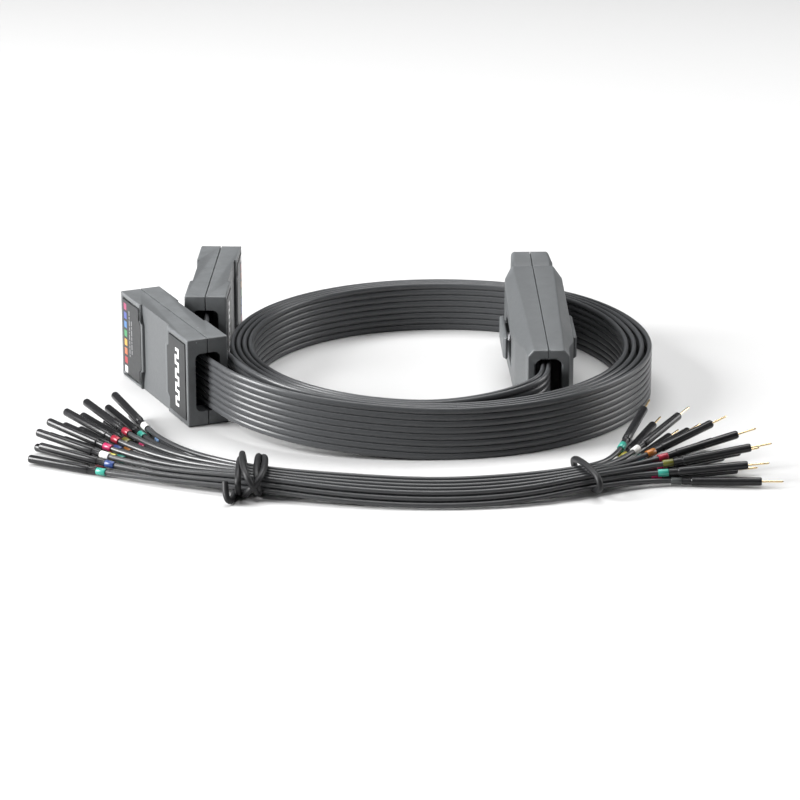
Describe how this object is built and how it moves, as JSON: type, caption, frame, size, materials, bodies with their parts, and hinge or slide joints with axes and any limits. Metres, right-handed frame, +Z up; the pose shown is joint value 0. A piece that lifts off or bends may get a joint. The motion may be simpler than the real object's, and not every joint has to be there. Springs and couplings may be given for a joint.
{
  "type": "logic analyzer probe set",
  "caption": "Logic probe set: oscilloscope plug with squeeze latches, coiled flat ribbon cables, probe pods and a tied bundle of flying leads.",
  "frame": {"origin": "on the table under the middle of the box round the plug and the two pods", "axes": "+Z up, +Y from the cable end of the plug to its nose, away from the flying leads, +X from the pods to the plug"},
  "size_m": [0.2194, 0.1745, 0.0305],
  "materials": {
    "housing_grey": "satin, fine moulded texture",
    "ribbon_grey": "satin PVC",
    "wire_grey": "satin PVC",
    "socket_black": "glossy moulded",
    "sleeve_colours": "glossy, one colour to each lead",
    "gold": "gold plated",
    "steel": "plated",
    "board_green": "solder resist",
    "chip_black": "moulded epoxy",
    "insulator_black": "satin",
    "plate_black": "printed film, semi gloss",
    "tie_rubber": "soft matt rubber"
  },
  "bodies": {
    "probe_set": {"latch_pivot_pins": "steel", "lead_marker_sleeves": "sleeve_colours", "lead_pin_housings": "socket_black", "lead_pin_tips": "gold", "lead_sockets": "socket_black", "lead_wire_01": "wire_grey", "lead_wire_02": "wire_grey", "lead_wire_03": "wire_grey", "lead_wire_04": "wire_grey", "lead_wire_05": "wire_grey", "lead_wire_06": "wire_grey", "lead_wire_07": "wire_grey", "lead_wire_08": "wire_grey", "lead_wire_09": "wire_grey", "lead_wire_10": "wire_grey", "lead_wire_11": "wire_grey", "lead_wire_12": "wire_grey", "lead_wire_13": "wire_grey", "lead_wire_14": "wire_grey", "lead_wire_15": "wire_grey", "lead_wire_16": "wire_grey", "plug_cable_clamp": "insulator_black", "plug_circuit_board": "board_green", "plug_contact_block": "insulator_black", "plug_contacts": "gold", "plug_ribbon_tail_inner": "ribbon_grey", "plug_ribbon_tail_outer": "ribbon_grey", "plug_screws": "steel", "plug_shell_left": "housing_grey", "plug_shell_right": "housing_grey", "pod_a_back_shell": "housing_grey", "pod_a_buffer_chips": "chip_black", "pod_a_cable_clamp": "insulator_black", "pod_a_channel_plate": "plate_black", "pod_a_circuit_board": "board_green", "pod_a_front_plate": "plate_black", "pod_a_front_shell": "housing_grey", "pod_a_header_body": "insulator_black", "pod_a_header_pins": "gold", "pod_a_ribbon_tail": "ribbon_grey", "pod_a_screws": "steel", "pod_b_back_shell": "housing_grey", "pod_b_buffer_chips": "chip_black", "pod_b_cable_clamp": "insulator_black", "pod_b_channel_plate": "plate_black", "pod_b_circuit_board": "board_green", "pod_b_front_plate": "plate_black", "pod_b_front_shell": "housing_grey", "pod_b_header_body": "insulator_black", "pod_b_header_pins": "gold", "pod_b_ribbon_tail": "ribbon_grey", "pod_b_screws": "steel", "ribbon_coil": "ribbon_grey", "twist_tie_left": "tie_rubber", "twist_tie_right": "tie_rubber"},
    "latch_left": {"latch_lever_left": "housing_grey", "latch_spring_left": "steel"},
    "latch_right": {"latch_lever_right": "housing_grey", "latch_spring_right": "steel"}
  },
  "joints": [
    {"name": "latch_left_squeeze", "type": "hinge", "parent": "probe_set", "child": "latch_left", "pos_m": [0.05095, 0.00518, 0.01437], "axis": [0.0012, -0.0376, 0.9993], "range_deg": [0, 4], "stiffness_Nm_per_rad": 0.3, "springref_deg": -5.73},
    {"name": "latch_right_squeeze", "type": "hinge", "parent": "probe_set", "child": "latch_right", "pos_m": [0.06694, 0.00568, 0.01437], "axis": [-0.0012, 0.0376, -0.9993], "range_deg": [0, 4], "stiffness_Nm_per_rad": 0.3, "springref_deg": -5.73}
  ]
}
